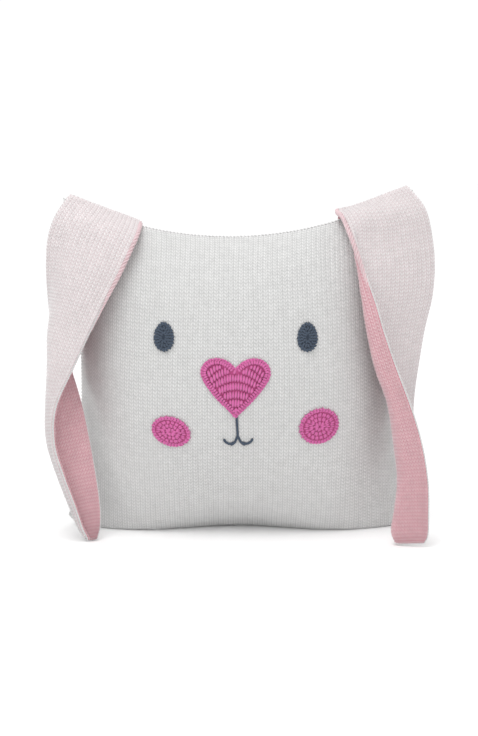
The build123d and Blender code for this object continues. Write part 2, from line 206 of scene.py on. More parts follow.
def make_materials():
    """Every finish by name; white_knit_over_pink is the look of the ears' white side."""
    return {
        "white_knit": yarn_material("white_knit", WHITE, WHITE_HOLLOW_SHADE),
        "white_knit_over_pink": yarn_material("white_knit_over_pink", WHITE, WHITE_OVER_PINK_SHADE),
        "pink_knit": yarn_material("pink_knit", PINK, PINK_HOLLOW_SHADE),
        "white_yarn": yarn_material("white_yarn", WHITE, WHITE_HOLLOW_SHADE),
        "magenta_crochet": yarn_material("magenta_crochet", MAGENTA, MAGENTA_HOLLOW_SHADE, sheen=0.35),
        "magenta_yarn": yarn_material("magenta_yarn", MAGENTA, MAGENTA_HOLLOW_SHADE, sheen=0.35),
        "slate_crochet": yarn_material("slate_crochet", SLATE, SLATE_HOLLOW_SHADE, sheen=0.2),
        "slate_yarn": yarn_material("slate_yarn", SLATE, SLATE_HOLLOW_SHADE, sheen=0.2),
        "pad_case": woven_material("pad_case", CASE_CLOTH),
        "fibre": yarn_material("fibre", FIBRE, FIBRE, fibre_scale=900.0, bump=0.8),
    }


# ---------------------------------------------------------------- mesh helpers
def new_object(name, points, faces, slot, shade_mark=None, look=None):
    """A smooth-shaded object with one material and a mark for each point: low for painted shade, high for
    none.
    """
    mesh = bpy.data.meshes.new(name)
    mesh.from_pydata(np.asarray(points).tolist(), [], faces)
    if shade_mark is not None:
        mark = mesh.attributes.new("shade_mark", "FLOAT", "POINT")
        mark.data.foreach_set("value", np.asarray(shade_mark, np.float32))
    work = bmesh.new()
    work.from_mesh(mesh)
    bmesh.ops.recalc_face_normals(work, faces=work.faces)
    work.to_mesh(mesh)
    work.free()
    mesh.polygons.foreach_set("use_smooth", [True] * len(mesh.polygons))
    mesh.materials.append(MATERIALS[look or slot])
    obj = bpy.data.objects.new(name, mesh)
    bpy.context.collection.objects.link(obj)
    return obj


def cubic_weights(f):
    """Weights of the four neighbours of a point at f, 0 to 1, between the middle two."""
    return (
        -0.5 * f + f ** 2 - 0.5 * f ** 3,
        1 - 2.5 * f ** 2 + 1.5 * f ** 3,
        0.5 * f + 2 * f ** 2 - 1.5 * f ** 3,
        -0.5 * f ** 2 + 0.5 * f ** 3,
    )


def sample(grid, s, t):
    """Smooth surface through a grid of points, at s and t from 0 to 1."""
    n, m = grid.shape[0] - 1, grid.shape[1] - 1
    padded = np.pad(grid, ((1, 1), (1, 1), (0, 0)), mode="edge")
    padded[0] = 2 * padded[1] - padded[2]
    padded[-1] = 2 * padded[-2] - padded[-3]
    padded[:, 0] = 2 * padded[:, 1] - padded[:, 2]
    padded[:, -1] = 2 * padded[:, -2] - padded[:, -3]
    x = np.clip(s, 0, 1) * n
    y = np.clip(t, 0, 1) * m
    i = np.minimum(x.astype(int), n - 1)
    j = np.minimum(y.astype(int), m - 1)
    across = cubic_weights((x - i)[..., None])
    up = cubic_weights((y - j)[..., None])
    total = 0
    for a in range(4):
        for b in range(4):
            total = total + padded[i + a, j + b] * across[a] * up[b]
    return total


def normals_at(grid, s, t, facing):
    """Unit normals of that surface; facing 1 or -1 picks the side."""
    step = 0.004
    over = sample(grid, s + step, t) - sample(grid, s - step, t)
    up = sample(grid, s, t + step) - sample(grid, s, t - step)
    normal = np.cross(over, up) * facing
    return normal / np.maximum(np.linalg.norm(normal, axis=-1, keepdims=True), 1e-12)


def even_out(grid):
    """The same surface with its grid lines evenly spaced along the cloth."""
    for _ in range(2):
        for axis in (0, 1):
            lines = np.moveaxis(grid, axis, 0)
            steps = np.linalg.norm(np.diff(lines, axis=0), axis=-1)
            length = np.concatenate([np.zeros((1, steps.shape[1])), np.cumsum(steps, axis=0)])
            even = np.empty_like(lines)
            for k in range(lines.shape[1]):
                wanted = np.linspace(0, length[-1, k], lines.shape[0])
                for c in range(3):
                    even[:, k, c] = np.interp(wanted, length[:, k], lines[:, k, c])
            grid = np.moveaxis(even, 0, axis)
    return grid


COLUMNS = 4                 # mesh columns in one stitch
ROWS = 3                    # mesh rows in one stitch
SHEAR = (0.85, 0.42, 0.0, 0.42)     # how much higher each column sits, in courses
LEG = (0.05, 1.0, 0.30, 1.0)        # how far each column stands out
SWELL = (0.05, 1.0, 0.80)           # how far each row stands out
BORDER = 6                  # mesh rows over which the stitches straighten at the ends


def knit(name, grid, wales, courses, facing, slot, lift=0.0, sheet=SHEET, look=None):
    """A closed sheet of stocking stitch over a grid: V-shaped stitches outside, a plain side behind."""
    columns, rows = wales * COLUMNS + 1, courses * ROWS + 1
    i, j = np.meshgrid(np.arange(columns), np.arange(rows), indexing="ij")
    fade = np.clip(np.minimum(j, rows - 1 - j) / BORDER, 0, 1)
    height = j / ROWS + (np.array(SHEAR)[i % COLUMNS] - 0.5) * fade
    wander = 0.09 * np.sin(i * 0.31 + j * 0.043) + 0.07 * np.sin(j * 0.11 + i * 0.017)
    inside = np.clip(np.minimum(i, columns - 1 - i) / COLUMNS, 0, 1)
    s = (i + wander * COLUMNS * inside * 0.5) / (columns - 1)
    t = height / courses
    stitch = rng.uniform(0.82, 1.1, (wales * 2 + 2, courses + 2))
    out = np.array(LEG)[i % COLUMNS] * np.array(SWELL)[j % ROWS] * stitch[i // 2, j // ROWS]
    edge = np.minimum(np.minimum(i, columns - 1 - i), 1) * np.minimum(np.minimum(j, rows - 1 - j), 1)
    out = out * edge
    base = sample(grid, s, t)
    normal = normals_at(grid, s, t, facing)
    front = base + normal * (lift + out * RELIEF)[..., None]
    back = (base + normal * (lift - sheet))[::COLUMNS, ::ROWS]
    points = np.concatenate([front.reshape(-1, 3), back.reshape(-1, 3)])
    # painted shade follows the relief: the hollows, the borders and the plain back get the hollow colour
    mark = np.concatenate([out.ravel(), np.zeros(back.shape[0] * back.shape[1])])
    faces = grid_faces(columns, rows, 0)
    start = columns * rows
    faces += grid_faces(back.shape[0], back.shape[1], start, True)
    faces += rim_faces(columns, rows, back.shape[1], start)
    return new_object(name, points, faces, slot, mark, look)


def grid_faces(columns, rows, start, reverse=False):
    """Quads of a grid of points."""
    faces = []
    for a in range(columns - 1):
        for b in range(rows - 1):
            k = start + a * rows + b
            face = (k, k + rows, k + rows + 1, k + 1)
            faces.append(face[::-1] if reverse else face)
    return faces


def two_sided_faces(columns, rows):
    """Faces of two grids of points, one after the other, joined round their borders."""
    count = columns * rows
    faces = grid_faces(columns, rows, 0) + grid_faces(columns, rows, count, True)
    border = [k * rows for k in range(columns)]
    border += [(columns - 1) * rows + k for k in range(1, rows)]
    border += [(columns - 1 - k) * rows + rows - 1 for k in range(1, columns)]
    border += [rows - 1 - k for k in range(1, rows - 1)]
    for a, b in zip(border, border[1:] + border[:1]):
        faces.append((a, b, b + count, a + count))
    return faces


def rim_faces(columns, rows, back_rows, start):
    """Triangles that join the fine border of a knitted side to the coarse border of its plain side."""
    back_columns = (columns - 1) // COLUMNS + 1

    def fine(a, b):
        return a * rows + b

    def coarse(a, b):
        return start + a * back_rows + b
    faces = []
    for b, back in ((0, 0), (rows - 1, back_rows - 1)):
        for k in range(back_columns - 1):
            for a in range(k * COLUMNS, (k + 1) * COLUMNS):
                faces.append((fine(a, b), fine(a + 1, b), coarse(k, back)))
            faces.append((coarse(k, back), fine((k + 1) * COLUMNS, b), coarse(k + 1, back)))
    for a, back in ((0, 0), (columns - 1, back_columns - 1)):
        for k in range(back_rows - 1):
            for b in range(k * ROWS, (k + 1) * ROWS):
                faces.append((fine(a, b), fine(a, b + 1), coarse(back, k)))
            faces.append((coarse(back, k), fine(a, (k + 1) * ROWS), coarse(back, k + 1)))
    return faces


def tube_faces(first, rings, sides):
    """Faces of a closed tube whose rings of points follow one another from a first point."""
    faces = []
    for k in range(rings - 1):
        for q in range(sides):
            a = first + k * sides + q
            b = first + k * sides + (q + 1) % sides
            faces.append((a, b, b + sides, a + sides))
    faces.append(tuple(first + q for q in range(sides))[::-1])
    last = first + (rings - 1) * sides
    faces.append(tuple(last + q for q in range(sides)))
    return faces


YARN_SIDES = 6              # sides of each ply's tube
YARN_STEPS = 8              # rings in one turn of the plies
PLY_RADIUS = 0.62           # radius of each ply, as a share of the yarn's
PLY_ORBIT = 0.45            # how far each ply's middle is from the yarn's, as a share of its radius


def yarn(name, paths, radius, slot, pitch, plies=2, body=None, fade=0.0):
    """Twisted yarn along one or more paths: plies wound round each other, thinning over a last share."""
    points, faces, mark = [], [], []
    for path in paths:
        path = np.asarray(path, float)
        steps = np.linalg.norm(np.diff(path, axis=0), axis=1)
        length = np.concatenate([[0], np.cumsum(steps)])
        count = max(int(length[-1] / (pitch / YARN_STEPS)), 3)
        where = np.linspace(0, length[-1], count + 1)
        line = np.stack([np.interp(where, length, path[:, c]) for c in range(3)], axis=1)
        ahead = np.gradient(line, axis=0)
        ahead /= np.maximum(np.linalg.norm(ahead, axis=1, keepdims=True), 1e-12)
        side = np.cross(ahead[0], (0.3, 0.9, 0.2))
        frames = []
        for direction in ahead:
            side = side - direction * np.dot(side, direction)
            side = side / np.linalg.norm(side)
            frames.append((side, np.cross(direction, side)))
        ply = radius * PLY_RADIUS
        orbit = radius * PLY_ORBIT
        for p in range(plies):
            first = len(points)
            for k, (u, v) in enumerate(frames):
                turn = 2 * math.pi * (where[k] / pitch + p / plies)
                thin = min(1.0, 0.2 + (count - k) / (count * fade)) if fade else 1.0
                centre = line[k] + orbit * thin * (u * math.cos(turn) + v * math.sin(turn))
                end = min(k, count - k)
                taper = thin * (0.55 if end == 0 else (0.88 if end == 1 else 1.0))
                for q in range(YARN_SIDES):
                    angle = 2 * math.pi * q / YARN_SIDES + turn
                    out = u * math.cos(angle) + v * math.sin(angle)
                    points.append(centre + out * ply * taper)
                    # painted shade on the side of each ply that faces the other plies
                    mark.append(0.55 + 0.45 * (0.5 + 0.5 * math.cos(angle - turn)))
            faces += tube_faces(first, count + 1, YARN_SIDES)
    obj = new_object(name, points, faces, slot, mark)
    if body:
        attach(obj, body)
    return obj


UNEVEN = 0.22 * MM          # how far hand-made stitches wander
STITCH_SHAPE = (            # how far along a stitch, and how fat it is there
    (0.0, 0.30), (0.10, 0.72), (0.30, 1.0), (0.55, 1.0), (0.82, 0.80), (0.96, 0.45), (1.0, 0.2),
)


def stitches(name, strokes, slot, body, sides=8):
    """Plump stitches, each a stroke (start, end, radius)."""
    points, faces, mark = [], [], []
    for start, end, radius in strokes:
        start = np.asarray(start, float) + rng.uniform(-1, 1, 3) * UNEVEN
        end = np.asarray(end, float) + rng.uniform(-1, 1, 3) * UNEVEN
        radius = radius * rng.uniform(0.9, 1.1)
        ahead = end - start
        direction = ahead / np.linalg.norm(ahead)
        u = np.cross(direction, (0, 1, 0.03))
        u /= np.linalg.norm(u)
        v = np.cross(direction, u)
        first = len(points)
        for along, fat in STITCH_SHAPE:
            for q in range(sides):
                angle = 2 * math.pi * q / sides
                out = (u * math.cos(angle) + v * math.sin(angle)) * radius * fat
                points.append(start + ahead * along + out)
                # painted shade: each stitch lighter on its side facing the front, darker behind and towards
                # its thin ends
                mark.append(0.35 + 0.65 * fat * max(0.0, -out[1] / radius) ** 0.5)
        faces += tube_faces(first, len(STITCH_SHAPE), sides)
    obj = new_object(name, points, faces, slot, mark)
    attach(obj, body)
    return obj


# ---------------------------------------------------------------- the cushion's shape
HALF_WIDTH = 157 * MM
CORNER_FLARE = 16 * MM      # how much further the corners reach out than the sides
CORNER_X = 172 * MM
TOP_HEIGHT = 294.5 * MM
TOP_CORNER_RISE = 41 * MM
TOP_LEAN = 4 * MM           # how much higher one top corner is than the middle of the two
BASE_PRESS = 0.5 * MM
BASE_LOBES = 70 * MM
BASE_CORNER = 10.5 * MM
CROWN_DEPTH = 62 * MM
SEAM_PLANE = 1.9 * MM       # how far each half's edge is from the middle plane
EDGE_ANGLE = math.radians(80.0)


def top_seam(x):
    """Height of the top seam at x."""
    across = x / CORNER_X
    return TOP_HEIGHT + TOP_CORNER_RISE * across ** 2 + TOP_LEAN * across


def swell(angle):
    """How far out the stuffing pushes the cloth: 1 in the middle, 0 at the seam."""
    edge = math.cos(EDGE_ANGLE)
    return (np.cos(angle) - edge) / (1 - edge)


def crown(side):
    """Grid over the front (side -1) or the back (side 1) of the cushion, before it is stuffed."""
    u, v = np.meshgrid(np.linspace(-1, 1, GRID + 1), np.linspace(-1, 1, GRID + 1), indexing="ij")
    theta, phi = u * EDGE_ANGLE, v * EDGE_ANGLE
    across = np.sin(theta) / math.sin(EDGE_ANGLE)
    up = np.sin(phi) / math.sin(EDGE_ANGLE)
    x = (HALF_WIDTH + CORNER_FLARE * np.abs(up) ** 3) * across
    top = top_seam(x)
    square = across ** 2
    bottom = -BASE_PRESS - BASE_LOBES * square * (1 - square) + BASE_CORNER * square ** 3
    z = (top + bottom) / 2 + (top - bottom) / 2 * up
    y = side * (SEAM_PLANE + CROWN_DEPTH * swell(theta) * swell(phi))
    return np.stack([x, y, z], axis=-1)


SIDE_GATHERS = 1.1 * MM     # how deep the cloth gathers along the side seams
END_GATHERS = 0.9 * MM      # how deep it gathers along the top and bottom seams
WAVES = 0.9 * MM            # how uneven the stuffing is in between
# place x and z, reach and depth of the dents in the stuffing
DENTS = (
    (-128 * MM, 24 * MM, 13 * MM, 5.0 * MM),
    (-70 * MM, 276 * MM, 26 * MM, 2.5 * MM),
    (84 * MM, 284 * MM, 24 * MM, 2.5 * MM),
    (132 * MM, 30 * MM, 20 * MM, 3.0 * MM),
    (0 * MM, 18 * MM, 40 * MM, 1.5 * MM),
)


def puckered(grid, side):
    """Small unevenness of a stuffed knit: gathers along the seams, dents by the corners, a flat base."""
    x, y, z = grid[..., 0], grid[..., 1], grid[..., 2]
    s = np.linspace(0, 1, grid.shape[0])[:, None]
    t = np.linspace(0, 1, grid.shape[1])[None, :]
    near_side = np.exp(-np.minimum(s, 1 - s) / 0.07)
    near_end = np.exp(-np.minimum(t, 1 - t) / 0.06)
    free = np.clip(96 * s * (1 - s) * t * (1 - t), 0, 1)
    gathers = SIDE_GATHERS * near_side * np.sin(t * 61 + 1.3 * side)
    gathers = gathers + END_GATHERS * near_end * np.sin(s * 57 + side)
    waves = WAVES * np.sin(s * 9 + 1.7 * t * 5) * np.sin(t * 7 + 0.6)
    y = y + side * (gathers + waves) * free
    for dx, dz, reach, depth in DENTS:
        away = ((x - dx) ** 2 + (z - dz) ** 2) / reach ** 2
        y = y - side * depth * np.exp(-away) * free
    z = np.maximum(z, SHEET * 0.2)
    return np.stack([x, y, z], axis=-1)


STUFF_FRAMES = 16           # length of the simulation
STUFF_CAP = 5 * MM          # the furthest that it may move a point
STUFF_SHARE = 0.3           # how much of its movement is kept


def stuff(front, back):
    """Stuffs the cushion: a short cloth simulation with pressure, capped so that it keeps its size."""
    n = GRID + 1
    points = np.concatenate([front.reshape(-1, 3), back.reshape(-1, 3)])
    mesh = bpy.data.meshes.new("stuffing_form")
    mesh.from_pydata(points.tolist(), [], two_sided_faces(n, n))
    form = bpy.data.objects.new("stuffing_form", mesh)
    bpy.context.collection.objects.link(form)
    cloth = form.modifiers.new("cloth", "CLOTH")
    cloth.settings.quality = 5
    cloth.settings.tension_stiffness = 12
    cloth.settings.compression_stiffness = 12
    cloth.settings.bending_stiffness = 0.4
    cloth.settings.use_pressure = True
    cloth.settings.uniform_pressure_force = 4
    cloth.settings.effector_weights.gravity = 0
    cloth.collision_settings.use_collision = False
    scene = bpy.context.scene
    for step in range(1, STUFF_FRAMES + 1):
        scene.frame_set(step)
    shown = form.evaluated_get(bpy.context.evaluated_depsgraph_get())
    moved = np.array([v.co for v in shown.data.vertices]) - points
    scene.frame_set(1)
    bpy.data.objects.remove(form)
    far = np.linalg.norm(moved, axis=1, keepdims=True)
    moved *= np.minimum(1, STUFF_CAP / np.maximum(far, 1e-9)) * STUFF_SHARE
    points = points + moved
    return points[:n * n].reshape(n, n, 3), points[n * n:].reshape(n, n, 3)


def make_cushion():
    """The knitted cover, its seams and the pad inside; gives the grid of its face."""
    front, back = crown(-1), crown(1)
    front, back = even_out(front), even_out(back)
    front, back = stuff(front, back)
    front, back = puckered(front, -1), puckered(back, 1)
    wide = np.linalg.norm(np.diff(front[:, GRID // 2], axis=0), axis=1).sum()
    tall = np.linalg.norm(np.diff(front[GRID // 2], axis=0), axis=1).sum()
    wales, courses = round(wide / WALE), round(tall / COURSE)
    for name, grid, facing in (("front", front, 1), ("back", back, -1)):
        cover = knit("knit_" + name, grid, wales, courses, facing, "white_knit")
        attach(cover, "pillow")
        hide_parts("cover_" + name)
    make_seams(front, back)
    make_pad(front, back)
    return front


SEAM_TRIM = 2               # grid points left off each end of a seam, where the corners are turned in
SEAM_YARN = 1.7 * MM        # radius of the joining yarn
SEAM_REST = 1.8 * MM        # lowest that its middle may be, so that it stays on the floor


def make_seams(front, back):
    """A twisted joining yarn along each of the four edges."""
    middle = (front + back) / 2
    edges = {
        "top": middle[:, -1], "bottom": middle[:, 0], "left": middle[0], "right": middle[-1],
    }
    for name, path in edges.items():
        line = path[SEAM_TRIM:-SEAM_TRIM].copy()
        line[:, 2] = np.maximum(line[:, 2], SEAM_REST)
        seam = yarn("seam_yarn_" + name, [line], SEAM_YARN, "white_yarn", pitch=7 * MM, body="pillow")
        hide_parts("seam_" + name)


CASE_GRID = 49              # points each way of the pad case
CASE_SHEET = 0.6 * MM       # thickness of its cloth
CASE_YARN = 0.8 * MM        # radius of the yarn in its seam
CASE_INSET = 6 * MM         # how far the case is inside the cover's edges
FILL_INSET = 12 * MM        # how far the filling is inside them
INNER_DEPTH = 0.93          # depth of each layer inside, as a share of the one round it
TUFTS = 0.5 * MM            # how uneven the filling is


def plain_sheet(name, grid, facing, sheet, slot):
    """A smooth closed sheet over a grid, of the given thickness."""
    n = CASE_GRID
    s, t = np.meshgrid(np.linspace(0, 1, n), np.linspace(0, 1, n), indexing="ij")
    outer = sample(grid, s, t)
    inner = outer - normals_at(grid, s, t, facing) * sheet
    points = np.concatenate([outer.reshape(-1, 3), inner.reshape(-1, 3)])
    return new_object(name, points, two_sided_faces(n, n), slot, np.ones(len(points)))


def shrunk(grid, amount):
    """The grid drawn in by about an amount on every side, and less deep."""
    low, high = grid.reshape(-1, 3).min(axis=0), grid.reshape(-1, 3).max(axis=0)
    middle = (low + high) / 2
    half = (high - low) / 2
    share = np.array([(half[0] - amount) / half[0], 1.0, (half[2] - amount) / half[2]])
    small = middle + (grid - middle) * share
    small[..., 1] = grid[..., 1] * INNER_DEPTH
    return small


def make_pad(front, back):
    """The woven case of the inner pad and the fibre inside it, both out of sight."""
    for name, grid, facing in (("front", front, 1), ("back", back, -1)):
        case = plain_sheet("case_" + name, shrunk(grid, CASE_INSET), facing, CASE_SHEET, "pad_case")
        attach(case, "pillow")
        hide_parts("insert_" + name)
    line = shrunk((front + back) / 2, CASE_INSET)
    loop = np.concatenate([line[:, 0], line[-1, 1:], line[::-1, -1][1:], line[0, ::-1][1:]])
    seam = yarn("case_seam", [loop], CASE_YARN, "pad_case", pitch=7 * CASE_YARN, body="pillow")
    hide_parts("insert_seam")
    points = np.concatenate([shrunk(grid, FILL_INSET).reshape(-1, 3) for grid in (front, back)])
    points[:, 1] *= INNER_DEPTH
    points += rng.normal(0, TUFTS, points.shape)
    fill = new_object("filling", points, two_sided_faces(GRID + 1, GRID + 1), "fibre", np.ones(len(points)))
    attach(fill, "pillow")
    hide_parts("fibre_fill")


# ---------------------------------------------------------------- the ears
# Sections of each ear from the top down, each from the outer edge through the fold to the inner
# edge, in millimetres.
LEFT_SECTIONS = (
    ((-178, -14, 314), (-138, -25, 307), (-99, -26, 297)),
    ((-185, -15, 293), (-146, -34, 286), (-106, -38, 281)),
    ((-187, -14, 268), (-153, -41, 263), (-115, -45, 262)),
    ((-186, -11, 238), (-166, -42, 236), (-128, -53, 237)),
    ((-182, -10, 206), (-180, -40, 205), (-142, -60, 208)),
    ((-170, -14, 174), (-183, -46, 174), (-158, -67, 174)),
    ((-156, -29, 136), (-184, -52, 138), (-175, -71, 136)),
    ((-147, -40, 100), (-183, -56, 101), (-177, -72, 100)),
    ((-140, -49, 64), (-173, -58, 66), (-168, -71, 66)),
    ((-136, -53, 34), (-162, -59, 35), (-158, -68, 35)),
    ((-136, -55, 14), (-154, -59, 14), (-152, -65, 14)),
    ((-139, -57, 2), (-144, -59, 1), (-147, -61, 2)),
)
RIGHT_SECTIONS = (
    ((182, -13, 322), (118, -24, 318), (103, -22, 314)),
    ((189, -14, 295), (114, -36, 293), (110, -43, 296)),
    ((192, -14, 266), (117, -48, 264), (121, -57, 265)),
    ((190, -16, 236), (121, -54, 236), (131, -66, 236)),
    ((183, -20, 206), (126, -56, 206), (140, -72, 206)),
    ((177, -26, 172), (134, -58, 172), (152, -76, 172)),
    ((172, -31, 138), (146, -60, 139), (165, -79, 138)),
    ((170, -38, 100), (153, -63, 100), (176, -82, 101)),
    ((168, -50, 64), (157, -67, 64), (182, -84, 65)),
    ((163, -61, 34), (154, -70, 34), (183, -84, 34)),
    ((160, -66, 15), (151, -72, 14), (183, -83, 14)),
    ((160, -70, 4), (155, -73, 3), (180, -81, 5)),
)
PANEL_LIFT = 0.1 * MM       # air between the ear's two layers, each side of its middle surface
EARS = {
    # ends of the root along the seam, inner first; their height over it; how round the root is there
    "left_ear": {
        "sections": LEFT_SECTIONS, "root_x": (-97, -170), "lift": (-0.5, 1.5), "roll": (3.0, 3.0, 3.4),
    },
    "right_ear": {
        "sections": RIGHT_SECTIONS, "root_x": (99, 171), "lift": (3.0, 1.5), "roll": (3.0, 4.0, 6.0),
    },
}
EAR_SHEET = 1.6 * MM        # thickness of each of the ear's two layers under the relief
LIP_FADE = 0.5              # share of the rolled lip over which it thins out
LIP_TOP = 4                 # row of the ear grid where the lining starts to roll over the inner edge
LIP_ROWS = 56               # row where that ends
EAR_COLUMNS = 33            # points across the ear grid
EAR_ROWS = 140              # points down it
EDGE_TRIM = 6               # rows at the root that have no edge stitches
FOLD_ROUND = 0.5            # how round the fold is, as a share of the narrower side
EDGE_EASE = 0.35            # how far each edge runs straight, as a share of its side
ROLL_ANGLES = (-70, -10, 45, 95, 140)   # round the root line, from behind over the top to the front
SHOULDER = (13, 9, 6, 5, 4)             # how far the outer end of each of those rows is drawn in


def bend(points, t):
    """Smooth curve through a list of points, t from 0 to len - 1."""
    last = len(points) - 1
    i = min(int(t), last - 1)
    weights = cubic_weights(t - i)
    b, c = points[i], points[i + 1]
    a = points[i - 1] if i > 0 else 2 * b - c
    d = points[i + 2] if i + 2 <= last else 2 * c - b
    return a * weights[0] + b * weights[1] + c * weights[2] + d * weights[3]


def section(outer, fold, inner, count):
    """Points along a cross-section with one rounded fold."""
    first, second = fold - outer, inner - fold
    a, b = np.linalg.norm(first), np.linalg.norm(second)
    mean = first / a + second / b
    along = mean / max(np.linalg.norm(mean), 1e-6) * FOLD_ROUND * min(a, b)
    split = a / (a + b)
    points = []
    for t in np.linspace(0, 1, count):
        if t <= split:
            f = t / split
            p = (outer, outer + first * EDGE_EASE, fold - along, fold)
        else:
            f = (t - split) / (1 - split)
            p = (fold, fold + along, inner - second * EDGE_EASE, inner)
        g = 1 - f
        points.append(p[0] * g ** 3 + p[1] * 3 * g * g * f + p[2] * 3 * g * f * f + p[3] * f ** 3)
    return points


def ear_surface(ear):
    """Grid over the middle surface of an ear: across from the outer to the inner edge, and down."""
    inner_end, outer_end = (
        np.array([x * MM, 0, top_seam(x * MM) + lift * MM])
        for x, lift in zip(ear["root_x"], ear["lift"])
    )
    along = inner_end - outer_end
    width = np.linalg.norm(along)
    first = np.array(ear["sections"][0]) * MM
    share = np.linalg.norm(first[1] - first[0]) / np.linalg.norm(first[2] - first[0])
    fold_end = outer_end + along * min(share, 0.9)
    rows = []
    for angle, drawn in zip(ROLL_ANGLES, SHOULDER):
        turn = math.radians(angle)
        out = np.array([0, math.cos(turn), math.sin(turn)])
        line = (outer_end + along * drawn * MM / width, fold_end, inner_end)
        rows.append([p + out * radius * MM for p, radius in zip(line, ear["roll"])])
    rows += [[np.array(p) * MM for p in row] for row in ear["sections"]]
    columns = [[row[k] for row in rows] for k in range(3)]
    grid = []
    for t in np.linspace(0, len(rows) - 1, EAR_ROWS):
        outer, fold, inner = (bend(column, t) for column in columns)
        grid.append(section(outer, fold, inner, EAR_COLUMNS))
    return even_out(np.array(grid).transpose(1, 0, 2))


def make_ear(name):
    """White panel, pink lining and the joining stitches of one ear, bending at its fold."""
    ear = EARS[name]
    grid = ear_surface(ear)
    facing = -1 if name == "left_ear" else 1
    length = np.linalg.norm(np.diff(grid[EAR_COLUMNS // 2], axis=0), axis=1).sum()
    widths = np.linalg.norm(np.diff(grid, axis=0), axis=2).sum(axis=0)
    wales, courses = round(widths.max() / WALE), round(length / COURSE)
    side = name.split("_")[0]
    outer = knit(side + "_outer_panel", grid[:, ::-1], wales, courses, -facing, "white_knit",
                 lift=PANEL_LIFT + EAR_SHEET, sheet=EAR_SHEET, look="white_knit_over_pink")
    lining = knit(side + "_pink_lining", grid[:, ::-1], wales, courses, facing, "pink_knit",
                  lift=PANEL_LIFT + EAR_SHEET, sheet=EAR_SHEET)
    edge = np.concatenate([grid[0, EDGE_TRIM:], grid[1:, -1], grid[-1, ::-1][1:-EDGE_TRIM]])
    seam = yarn(side + "_edge_stitches", [edge], 1.2 * MM, "white_yarn", pitch=5.5 * MM)
    for piece, node in ((outer, "outer"), (lining, "lining"), (seam, "edge_seam")):
        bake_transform(piece)
        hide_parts(f"{name}_{node}_upper", f"{name}_{node}_lower")
    lip = grid[-1, LIP_TOP:LIP_ROWS].copy()
    lip[:, 0] += facing * -1.2 * MM
    lip[:, 1] += np.interp(np.linspace(0, 1, len(lip)), (0, 0.6, 1), (-1.6, -0.6, 1.6)) * MM
    yarn(side + "_rolled_lip", [lip], 2.5 * MM, "pink_knit", plies=3, pitch=13 * MM, body=name + "_upper",
         fade=LIP_FADE)
    root_stitches(name, ear)


ROOT_LOOPS = 11
ROOT_LOOP_TOP = np.array([0.8, 5.6, 4.6]) * MM      # where a loop starts, from the seam
ROOT_LOOP_FOOT = np.array([-0.8, 2.2, -2.0]) * MM   # where it ends


def root_stitches(name, ear):
    """Loops of yarn that hold the rolled root of an ear in the top seam, at its back."""
    inner_x, outer_x = ear["root_x"]
    strokes = []
    for k in range(ROOT_LOOPS):
        share = (k + 0.5) / ROOT_LOOPS
        x = (inner_x + (outer_x - inner_x) * share) * MM
        seam = np.array([x, 0.0, top_seam(x)])
        strokes.append((seam + ROOT_LOOP_TOP, seam + ROOT_LOOP_FOOT, 1.0 * MM))
    loops = stitches(name + "_root_loops", strokes, "white_yarn", "pillow")
    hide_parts(name + "_root_stitches")


# ---------------------------------------------------------------- the face
FACE_WIDTH = 340 * MM       # rough size of the face, to start and steer the search for a place on it
FACE_HEIGHT = 310 * MM


def face_place(front, x, z, lift):
    """The point of the knitted face at x and z, moved out along the normal by the relief and lift."""
    s, t = np.array([0.5 + x / FACE_WIDTH]), np.array([z / FACE_HEIGHT])
    for _ in range(20):
        point = sample(front, s, t)[0]
        s = s + (x - point[0]) / FACE_WIDTH
        t = t + (z - point[2]) / FACE_HEIGHT
    normal = normals_at(front, s, t, 1)[0]
    return point + normal * (lift + RELIEF * 0.8)


def domed_patch(name, front, outline, slot, height, rings=7):
    """A thin domed pad with a given outline [(x, z), ...] laid on the face."""
    outline = np.asarray(outline)
    middle = outline.mean(axis=0)
    # painted shade: the dome gets a low mark, so the ground under the stitches is drawn near the hollow
    # colour
    points, mark = [], []
    for ring in range(rings):
        share = 1 - ring / rings
        rise = height * math.sqrt(1 - share ** 2 * 0.92)
        for x, z in middle + (outline - middle) * share:
            points.append(face_place(front, x, z, rise))
            mark.append(0.3)
    points.append(face_place(front, *middle, height))
    mark.append(0.3)
    count = len(outline)
    faces = []
    for ring in range(rings - 1):
        for k in range(count):
            a, b = ring * count + k, ring * count + (k + 1) % count
            faces.append((a, b, b + count, a + count))
    last = (rings - 1) * count
    for k in range(count):
        faces.append((last + k, last + (k + 1) % count, rings * count))
    start = len(points)
    for x, z in outline:
        points.append(face_place(front, x, z, -0.8 * MM))
        # painted shade, darker still, on the underside
        mark.append(0.1)
    points.append(face_place(front, *middle, -0.8 * MM))
    mark.append(0.1)
    for k in range(count):
        a, b = k, (k + 1) % count
        faces.append((b, a, start + a, start + b))
        faces.append((start + b, start + a, start + count))
    obj = new_object(name, points, faces, slot, mark)
    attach(obj, "pillow")
    return obj


def walk(outline, spacing):
    """Evenly spaced (x, z, heading) round a closed outline."""
    closed = np.vstack([outline, outline[:1]])
    steps = np.linalg.norm(np.diff(closed, axis=0), axis=1)
    length = np.concatenate([[0], np.cumsum(steps)])
    count = max(round(length[-1] / spacing), 6)
    places = []
    for where in np.linspace(0, length[-1], count, endpoint=False):
        x, z = (np.interp(where, length, closed[:, c]) for c in (0, 1))
        k = min(np.searchsorted(length, where, side="right") - 1, len(steps) - 1)
        ahead = closed[k + 1] - closed[k]
        places.append((x, z, math.atan2(ahead[1], ahead[0])))
    return places


def inset_outline(outline, amount):
    """The outline drawn in along its own normals; it runs anticlockwise."""
    ahead = np.roll(outline, -1, axis=0) - np.roll(outline, 1, axis=0)
    ahead /= np.maximum(np.linalg.norm(ahead, axis=1, keepdims=True), 1e-12)
    inward = np.stack([-ahead[:, 1], ahead[:, 0]], axis=1)
    return outline + inward * amount


